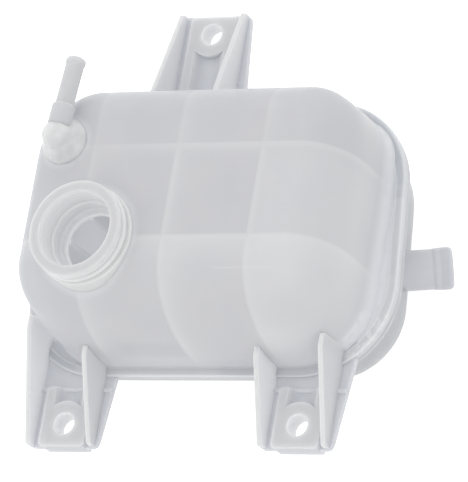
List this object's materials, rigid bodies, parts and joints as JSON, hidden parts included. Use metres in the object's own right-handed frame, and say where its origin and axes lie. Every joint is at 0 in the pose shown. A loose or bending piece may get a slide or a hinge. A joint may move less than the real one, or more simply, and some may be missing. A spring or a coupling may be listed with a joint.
{
  "type": "coolant expansion tank",
  "caption": "Translucent moulded coolant expansion tank: a rounded dome and a shallow bowl welded at a flange, with a threaded filler neck, a vent nipple, a hose spigot and gusseted brackets.",
  "frame": {"origin": "middle of the flat back of the rear moulding, on which the tank lies", "axes": "+Z out of the dome, along the filler neck; +X towards the hose spigot; +Y towards the single bracket"},
  "size_m": [0.2117, 0.2235, 0.1229],
  "materials": {
    "front_moulding": "natural translucent polypropylene, satin",
    "rear_moulding": "natural translucent polypropylene, satin"
  },
  "bodies": {
    "root": {"upper_shell": "front_moulding", "lower_shell": "rear_moulding"}
  },
  "joints": []
}
